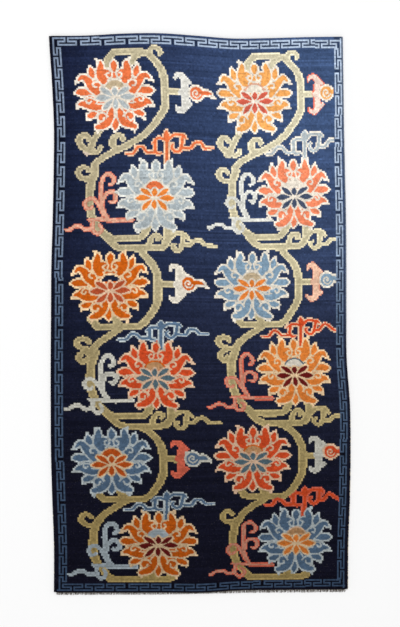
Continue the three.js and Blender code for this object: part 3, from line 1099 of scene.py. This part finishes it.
def wear(mesh, side, turns, down):
    """Keeps on each face how light its wool is, how much it is bleached and lit by a painted sheen, and
    where it is worn to the cotton.
    """
    columns = BEAD_POINTS - 1
    shade = 1 + TURN_SHADE * by_turn(turns)[:len(down)]
    chance = WORN_SHARE[side] * eased(down, WORN_FROM, WORN_TO)
    bare = np.repeat(CHANCE.random(turns) < chance[::TURN_STEPS], TURN_STEPS)
    outer = np.arange(columns)[::1 if side == "left" else -1] < WORN_FACES
    # Lighter on the right side's upper part: partly sun bleaching, partly a painted sheen
    bleached_and_lit = (side == "right") * (1 - eased(down, LIT_BLEACHED_FROM, LIT_BLEACHED_TO))
    for name, over, base, end in (
        ("shade", np.repeat(shade, columns), shade, 1),
        ("worn", (bare[:, None] & outer).ravel(), np.zeros(len(down)), 0),
        ("bleached_and_lit", np.repeat(bleached_and_lit, columns), bleached_and_lit, 0),
    ):
        store(mesh, name, "FLOAT", "FACE", np.concatenate([over, base, [end, end]]))


def selvedge(side):
    """The wool wound over one long side."""
    turns = round(MEAN_LENGTH / TURN_PITCH)
    rows = turns * TURN_STEPS
    down = np.arange(rows + 1) / rows
    points = bead(-1 if side == "left" else 1, turns, down)
    piece = new_piece(f"overcast_{side}", points, bead_faces(rows))
    wear(piece.data, side, turns, down[:-1])
    return piece


def lower_edge(across):
    return plan_points(across, np.ones_like(across))


def warp_strip():
    """The points and faces of the narrow woven strip past the lower end of the pile."""
    row, column = np.mgrid[0:STRIP_ROWS + 1, 0:COLUMNS * WARPS_PER_KNOT + 1]
    x, y = lower_edge(mix(BARE_END, 1 - BARE_END, column / (COLUMNS * WARPS_PER_KNOT)))
    y = y - (GAP + WARP_STRIP_WIDTH * row / STRIP_ROWS)
    z = WARP_END_HEIGHT - WEAVE_RELIEF + WEAVE_RELIEF * ((row + column) % 2)
    return closed(np.stack([x, y, z], -1), 0)[:2]


def warp_strand(root, tip, radius):
    """The points and faces of one cut warp: a limp thread that lies on the floor."""
    part = np.linspace(0, 1, WARP_STEPS + 1)
    curl = WARP_CURL * CHANCE.standard_normal(2)
    x = mix(root[0], tip[0], part) + curl[0] * np.sin(math.pi * part)
    y = mix(root[1], tip[1], part)
    swell = WARP_SWELL * np.sin(SWELL_PACE * part + SWELL_START * CHANCE.random())
    spread = radius * (1 + swell - WARP_TAPER * part ** 4)
    angle = 2 * math.pi * np.arange(WARP_SIDES) / WARP_SIDES + 0.5 * math.pi
    ring_x = x[:, None] + spread[:, None] * np.cos(angle)
    ring_y = np.broadcast_to(y[:, None], ring_x.shape)
    ring_z = spread.max() + spread[:, None] * np.sin(angle)
    ring = np.arange(WARP_SIDES)
    first = WARP_SIDES * np.arange(WARP_STEPS)[:, None] + ring
    beside = np.roll(first, -1, 1)
    walls = np.stack([first, beside, beside + WARP_SIDES, first + WARP_SIDES], -1).reshape(-1, 4)
    ends = [ring[::-1].tolist(), (WARP_STEPS * WARP_SIDES + ring).tolist()]
    return np.stack([ring_x, ring_y, ring_z], -1).reshape(-1, 3), [*walls.tolist(), *ends]


def warp_ends():
    """The woven strip and the cut warps along the lower end, as one piece."""
    points, faces = warp_strip()
    points, count = [points], len(points)
    shade = [np.full(len(faces), STRIP_SHADE)]
    number = COLUMNS * WARPS_PER_KNOT
    across = BARE_END + (1 - 2 * BARE_END) * (np.arange(number) + 0.5) / number
    reach = along(END_ROWS[:, 2], across) + WARP_FRAY - GAP - WARP_STRIP_WIDTH
    length = reach * (WARP_SHORTEST + (1 - WARP_SHORTEST) * CHANCE.random(number))
    for x, y, own_length in zip(*lower_edge(across), length):
        tip = (x + WARP_LEAN * CHANCE.standard_normal(), y - GAP - WARP_STRIP_WIDTH - own_length)
        radius = WARP_RADIUS * (WARP_THINNEST + WARP_THICKER * CHANCE.random())
        own, own_faces = warp_strand((x, y - GAP - WARP_ROOT * WARP_STRIP_WIDTH), tip, radius)
        points.append(own)
        faces += [[corner + count for corner in face] for face in own_faces]
        count += len(own)
        shade.append(np.full(len(own_faces), 1 + WARP_SHADE * CHANCE.standard_normal()))
    piece = new_piece("warp_fringe", np.vstack(points), faces)
    store(piece.data, "shade", "FLOAT", "FACE", np.concatenate(shade))
    return piece

# The colours of the yarns, of the stray hairs in the pile and of the sheen, from 0 to 255
OVERCAST_WOOL = (26, 26, 40)
# The right side's overcasting where it is lighter: partly sun bleaching, partly a painted sheen
LIT_BLEACHED_OVERCAST = (100, 113, 134)
RAW_COTTON = (108, 100, 93)
WORN_COTTON = (182, 170, 146)
PALE_FIBRE = (196, 188, 176)
SHEEN_TINT = (190, 192, 205)

# How matt the wool and cotton are, and how spread their sheen is
MATT = 0.95
SHEEN_SPREAD = 0.55

# The sockets of a colour mix
MIX_PART, MIX_FIRST, MIX_SECOND, MIX_RESULT = 0, 6, 7, 2


class Finish:
    """A material whose nodes are added one after another."""

    def __init__(self, name, sheen, specular):
        self.material = bpy.data.materials.new(name)
        self.material.use_nodes = True
        self.tree = self.material.node_tree
        self.shader = next(node for node in self.tree.nodes if node.type == "BSDF_PRINCIPLED")
        self.shader.inputs["Roughness"].default_value = MATT
        self.shader.inputs["Sheen Weight"].default_value = sheen
        self.shader.inputs["Sheen Roughness"].default_value = SHEEN_SPREAD
        self.shader.inputs["Sheen Tint"].default_value = flat(SHEEN_TINT)
        self.shader.inputs["Specular IOR Level"].default_value = specular

    def node(self, kind, sockets, **settings):
        """A node, with a value or a link for each of the named sockets."""
        node = self.tree.nodes.new(kind)
        for key, value in settings.items():
            setattr(node, key, value)
        for socket, value in sockets.items():
            if isinstance(value, bpy.types.NodeSocket):
                self.tree.links.new(value, node.inputs[socket])
            else:
                node.inputs[socket].default_value = value
        return node

    def attribute(self, name, output="Color"):
        return self.node("ShaderNodeAttribute", {}, attribute_name=name).outputs[output]

    def place(self, stretch=(1, 1, 1)):
        """The place on the rug in metres, squeezed along each axis."""
        where = self.node("ShaderNodeTexCoord", {}).outputs["Object"]
        scaled = self.node("ShaderNodeVectorMath", {0: where, 1: stretch}, operation="MULTIPLY")
        return scaled.outputs["Vector"]

    def noise(self, where, scale, detail=2.0, rough=0.5):
        """Uneven numbers from 0 to 1, with that many swells a metre and finer ones on them."""
        sockets = {"Vector": where, "Scale": scale, "Detail": detail, "Roughness": rough}
        return self.node("ShaderNodeTexNoise", sockets).outputs["Fac"]

    def ramp(self, value, low, high, start=0.0, end=1.0):
        """The value spread from low..high to start..end, and held there."""
        sockets = {"Value": value, "From Min": low, "From Max": high, "To Min": start, "To Max": end}
        return self.node("ShaderNodeMapRange", sockets, interpolation_type="SMOOTHSTEP").outputs["Result"]

    def blend(self, part, first, second):
        """The first colour, turning into the second where the part is 1."""
        sockets = {MIX_PART: part, MIX_FIRST: first, MIX_SECOND: second}
        return self.node("ShaderNodeMix", sockets, data_type="RGBA").outputs[MIX_RESULT]

    def shaded(self, colour, value):
        """The colour, made lighter or darker by a value."""
        sockets = {0: colour, "Scale": value}
        return self.node("ShaderNodeVectorMath", sockets, operation="SCALE").outputs["Vector"]

    def mottled(self, colour, noise, dark, light, low=0.3, high=0.7):
        """The colour, from dark to light times its own, as the noise goes from low to high."""
        return self.shaded(colour, self.ramp(noise, low, high, dark, light))

    def bump(self, height, distance, strength, **under):
        """Relief in the normal, on top of another's where that is given as Normal."""
        sockets = {"Height": height, "Distance": distance, "Strength": strength, **under}
        return self.node("ShaderNodeBump", sockets).outputs["Normal"]

    def done(self, colour, normal):
        self.tree.links.new(colour, self.shader.inputs["Base Color"])
        self.tree.links.new(normal, self.shader.inputs["Normal"])
        return self.material


def flat(colour):
    """The same colour everywhere, with a fourth value of one."""
    return (*linear(colour), 1)


def pile_finish():
    """Cut wool: the dyed colours with ragged borders, uneven fibre by fibre, and stray pale hairs."""
    finish = Finish("pile_wool", sheen=0.03, specular=0.03)
    place = finish.place()
    ragged = finish.ramp(finish.noise(place, 900, rough=0.6), 0.42, 0.62, end=0.6)
    colour = finish.blend(ragged, finish.attribute("wool"), finish.attribute("wool_blend"))
    fibre = finish.noise(place, 1500, detail=3.0, rough=0.65)
    colour = finish.mottled(colour, fibre, 0.74, 1.26)
    patch = finish.noise(place, 26, detail=3.0, rough=0.6)
    colour = finish.mottled(colour, patch, 0.93, 1.07)
    hair = finish.noise(finish.place((1, 2.2, 1)), 420, detail=0.0)
    colour = finish.blend(finish.ramp(hair, 0.8, 0.86, end=0.12), colour, flat(PALE_FIBRE))
    tuft = finish.bump(finish.noise(place, 520), 0.0006, 0.6)
    normal = finish.bump(fibre, 0.0003, 0.6, Normal=tuft)
    return finish.done(colour, normal)


def woven_finish():
    """The flat back of the knots: ribs along the rows, crossed by fine wefts."""
    finish = Finish("woven_wool", sheen=0.04, specular=0.05)
    colour = finish.blend(0.15, finish.attribute("wool"), finish.attribute("wool_blend"))
    weft = finish.noise(finish.place((0.25, 1, 1)), 900)
    colour = finish.mottled(colour, weft, 0.72, 1.15)
    return finish.done(colour, finish.bump(weft, 0.0004, 0.7))


def overcast_finish():
    """Dark wool yarn wound in turns, and the pale cotton under it where it has worn away."""
    finish = Finish("overcast_wool", sheen=0.03, specular=0.03)
    ply = finish.noise(finish.place((0.5, 2.4, 1)), 700, detail=3.0, rough=0.6)
    # The yarn turns paler where it is bleached and carries a painted sheen
    yarn = finish.blend(finish.attribute("bleached_and_lit", "Fac"), flat(OVERCAST_WOOL), flat(LIT_BLEACHED_OVERCAST))
    yarn = finish.shaded(yarn, finish.attribute("shade", "Fac"))
    yarn = finish.blend(finish.attribute("worn", "Fac"), yarn, flat(WORN_COTTON))
    return finish.done(finish.mottled(yarn, ply, 0.6, 1.5), finish.bump(ply, 0.0004, 0.7))


def cotton_finish():
    """Undyed cotton warp, twisted and a little soiled."""
    finish = Finish("warp_cotton", sheen=0.1, specular=0.12)
    twist = finish.noise(finish.place((2, 1, 1)), 900, detail=3.0, rough=0.6)
    colour = finish.shaded(tuple(linear(RAW_COTTON)), finish.attribute("shade", "Fac"))
    soil = finish.noise(finish.place(), 60, detail=3.0)
    colour = finish.mottled(colour, soil, 0.78, 1.08, low=0.35)
    colour = finish.mottled(colour, twist, 0.75, 1.15)
    return finish.done(colour, finish.bump(twist, 0.0003, 0.7))

# The camera's height, the height of its view at the rug, and where it looks
CAMERA_HEIGHT = 6.0
VIEW_HEIGHT = 1.9036
VIEW_CENTRE = (0.0006, 0.0011)
SENSOR_HEIGHT = 24.0

# The floor, the lamp and the sky
FLOOR_SIZE = 14.0
FLOOR_COLOUR = (250, 250, 250)
LIGHT_PLACE = (-1.2, 2.2, 8.9)
LIGHT_SIZE = 3.4
LIGHT_POWER = 388.0
SKY_STRENGTH = 0.62


def camera():
    data = bpy.data.cameras.new("camera")
    data.sensor_fit = "VERTICAL"
    data.sensor_height = SENSOR_HEIGHT
    data.lens = SENSOR_HEIGHT * CAMERA_HEIGHT / VIEW_HEIGHT
    thing = bpy.data.objects.new("camera", data)
    thing.location = (*VIEW_CENTRE, CAMERA_HEIGHT)
    bpy.context.scene.collection.objects.link(thing)
    bpy.context.scene.camera = thing


def floor():
    half = FLOOR_SIZE / 2
    corners = [(-half, -half, 0), (half, -half, 0), (half, half, 0), (-half, half, 0)]
    thing = new_piece("floor", corners, [[0, 1, 2, 3]])
    material = bpy.data.materials.new("floor")
    material.use_nodes = True
    shader = next(node for node in material.node_tree.nodes if node.type == "BSDF_PRINCIPLED")
    shader.inputs["Base Color"].default_value = (*linear(FLOOR_COLOUR), 1)
    shader.inputs["Roughness"].default_value = 0.9
    thing.data.materials.append(material)


def light():
    """A large soft lamp beyond the rug's upper end."""
    data = bpy.data.lights.new("softbox", "AREA")
    data.size = LIGHT_SIZE
    data.energy = LIGHT_POWER
    lamp = bpy.data.objects.new("softbox", data)
    lamp.location = LIGHT_PLACE
    x, y, z = LIGHT_PLACE
    lamp.rotation_euler = (-math.atan2(y, z), math.atan2(x, z), 0)
    bpy.context.scene.collection.objects.link(lamp)


def sky():
    """An even white sky."""
    world = bpy.data.worlds.new("sky")
    world.use_nodes = True
    air = next(node for node in world.node_tree.nodes if node.type == "BACKGROUND")
    air.inputs["Color"].default_value = (1, 1, 1, 1)
    air.inputs["Strength"].default_value = SKY_STRENGTH
    bpy.context.scene.world = world
    bpy.context.scene.view_settings.view_transform = "Standard"


def finished(piece, material):
    """Gives a piece its look and its place in the CAD part."""
    piece.data.materials.append(material)
    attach(piece, "root")


def rug():
    chart = draw_chart()
    pile_wool = pile_finish()
    for piece in pile_bands(chart):
        finished(piece, pile_wool)
    back = woven_back(chart)
    finished(back, woven_finish())
    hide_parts("carpet")
    overcast_wool = overcast_finish()
    for side in ("left", "right"):
        piece = selvedge(side)
        finished(piece, overcast_wool)
        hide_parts(f"selvedge_{side}")
    ends = warp_ends()
    finished(ends, cotton_finish())
    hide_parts("warp_ends")


check_outline()
camera()
floor()
light()
sky()
rug()
